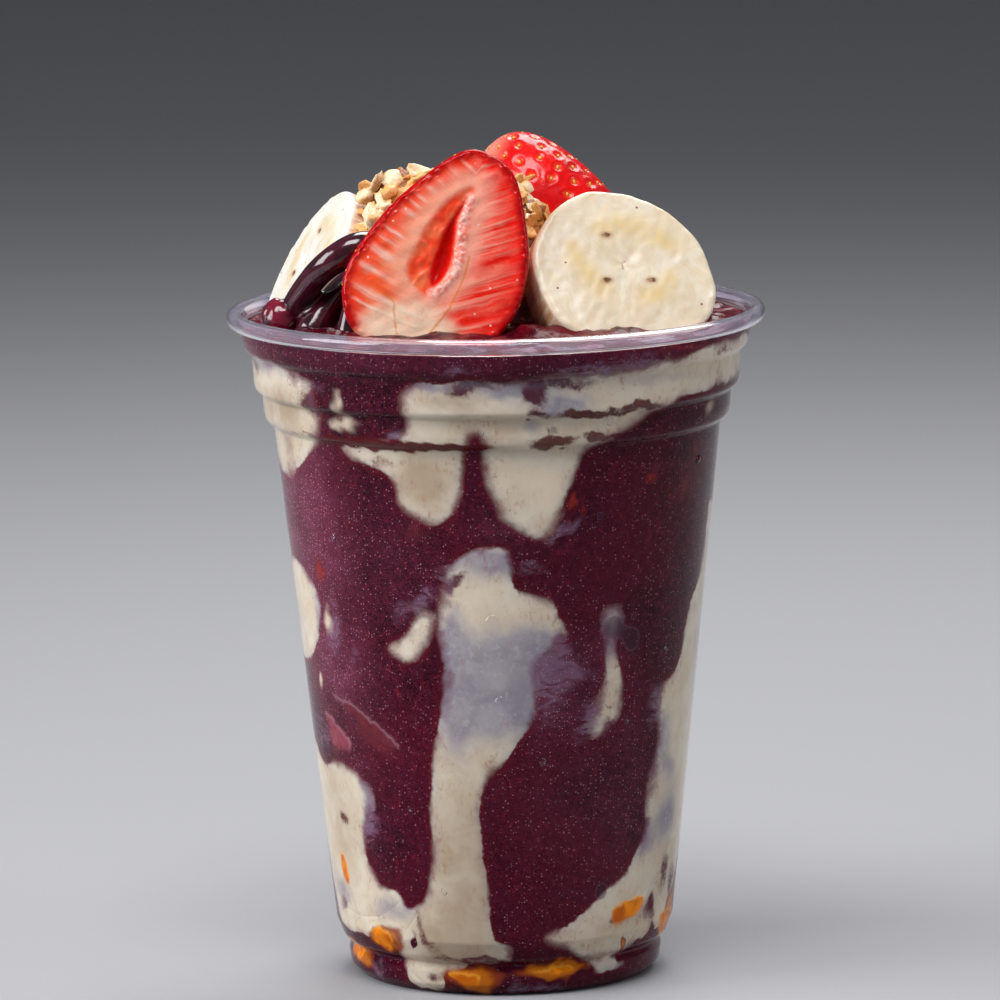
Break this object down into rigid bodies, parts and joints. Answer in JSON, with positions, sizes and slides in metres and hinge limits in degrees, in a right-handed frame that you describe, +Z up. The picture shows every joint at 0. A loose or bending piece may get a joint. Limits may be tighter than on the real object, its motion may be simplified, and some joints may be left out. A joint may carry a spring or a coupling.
{
  "type": "acai cup with fruit and granola",
  "caption": "Tall clear cup of acai puree streaked with cream, mango at the wall, topped with strawberry, banana, granola, a glossy dollop and a berry.",
  "frame": {"origin": "centre of the cup's foot ring, on the surface it stands on", "axes": "+Z up along the cup's axis; -Y is the front, where the cut strawberry and banana face; +X to the right seen from the front"},
  "size_m": [0.0978, 0.0978, 0.1526],
  "materials": {
    "clear_plastic": "clear moulded plastic, glossy, faintly ribbed",
    "acai": "wet dark purple puree with fine specks",
    "cream": "smooth ivory cream with lilac veils at its edges",
    "mango": "wet ripe orange flesh",
    "strawberry_flesh": "wet cut flesh with pale rays and a red rim",
    "strawberry_skin": "glossy red skin with seeds in dimples",
    "banana": "moist ivory flesh with a paler rim and seed spots",
    "granola": "toasted oat flakes and nut pieces",
    "berry": "glossy, nearly black with a red rim"
  },
  "bodies": {
    "root": {"cup": "clear_plastic", "acai": "acai", "acai_dollop": "acai", "cream_collar_front": "cream", "cream_collar_left": "cream", "cream_collar_back": "cream", "cream_river": "cream", "cream_right": "cream", "cream_left_high": "cream", "cream_left_low": "cream", "cream_blob": "cream", "cream_comma": "cream", "cream_back_river": "cream", "cream_back_bend": "cream", "mango_1": "mango", "mango_2": "mango", "mango_3": "mango", "mango_4": "mango", "mango_5": "mango", "mango_6": "mango", "mango_7": "mango", "mango_8": "mango", "mango_9": "mango", "mango_10": "mango", "strawberry_sunk_long": "strawberry_flesh", "strawberry_sunk_short": "strawberry_flesh", "strawberry_front": "strawberry_flesh", "strawberry_back": "strawberry_skin", "banana_front": "banana", "banana_left": "banana", "granola_heap": "granola", "berry": "berry"}
  },
  "joints": []
}
